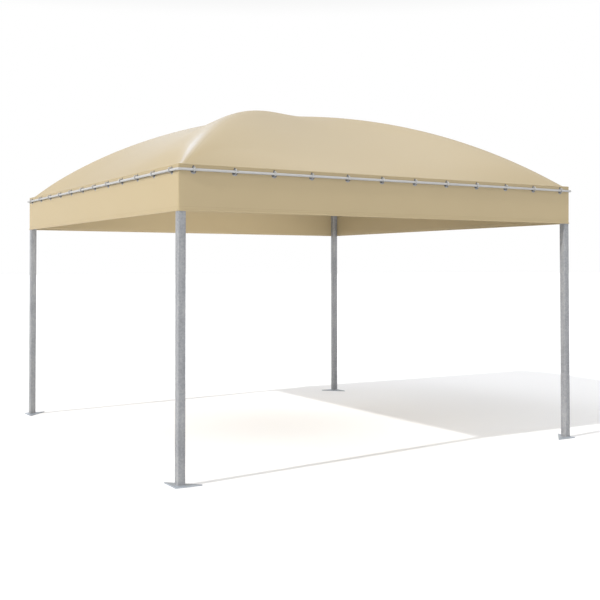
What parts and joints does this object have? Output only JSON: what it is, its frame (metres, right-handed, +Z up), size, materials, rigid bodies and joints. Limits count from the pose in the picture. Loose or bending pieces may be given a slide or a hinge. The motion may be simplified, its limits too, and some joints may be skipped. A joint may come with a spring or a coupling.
{
  "type": "dome gazebo",
  "caption": "Square gazebo: posts on foot plates carry eave beams and crossed arched ribs under a taut fabric dome, whose skirts are held to the beams by round bars in staples.",
  "frame": {"origin": "on the ground, under the middle of the square plan", "axes": "+Z up, -Y to the front; the posts stand at the corners of a square whose sides lie along X and Y"},
  "size_m": [4.0636, 4.0636, 3.1276],
  "materials": {
    "coated_fabric": "beige coated tarpaulin, satin, fine weave under the coating",
    "galvanised_steel": "hot-dip galvanised, dull, mottled with zinc spangle",
    "bar_steel": "zinc-plated round bar, satin"
  },
  "bodies": {
    "root": {"roof_cover": "coated_fabric", "skirt_front": "coated_fabric", "skirt_right": "coated_fabric", "skirt_back": "coated_fabric", "skirt_left": "coated_fabric", "crown_hub": "galvanised_steel", "rib_front_left": "galvanised_steel", "rib_front_right": "galvanised_steel", "rib_back_right": "galvanised_steel", "rib_back_left": "galvanised_steel", "eave_beam_front": "galvanised_steel", "eave_beam_right": "galvanised_steel", "eave_beam_back": "galvanised_steel", "eave_beam_left": "galvanised_steel", "corner_bracket_front_left": "galvanised_steel", "corner_bracket_front_right": "galvanised_steel", "corner_bracket_back_right": "galvanised_steel", "corner_bracket_back_left": "galvanised_steel", "post_front_left": "galvanised_steel", "post_front_right": "galvanised_steel", "post_back_right": "galvanised_steel", "post_back_left": "galvanised_steel", "foot_plate_front_left": "galvanised_steel", "foot_plate_front_right": "galvanised_steel", "foot_plate_back_right": "galvanised_steel", "foot_plate_back_left": "galvanised_steel", "tension_bar_front": "bar_steel", "tension_bar_right": "bar_steel", "tension_bar_back": "bar_steel", "tension_bar_left": "bar_steel", "bar_elbow_front_left": "bar_steel", "bar_elbow_front_right": "bar_steel", "bar_elbow_back_right": "bar_steel", "bar_elbow_back_left": "bar_steel"}
  },
  "joints": []
}
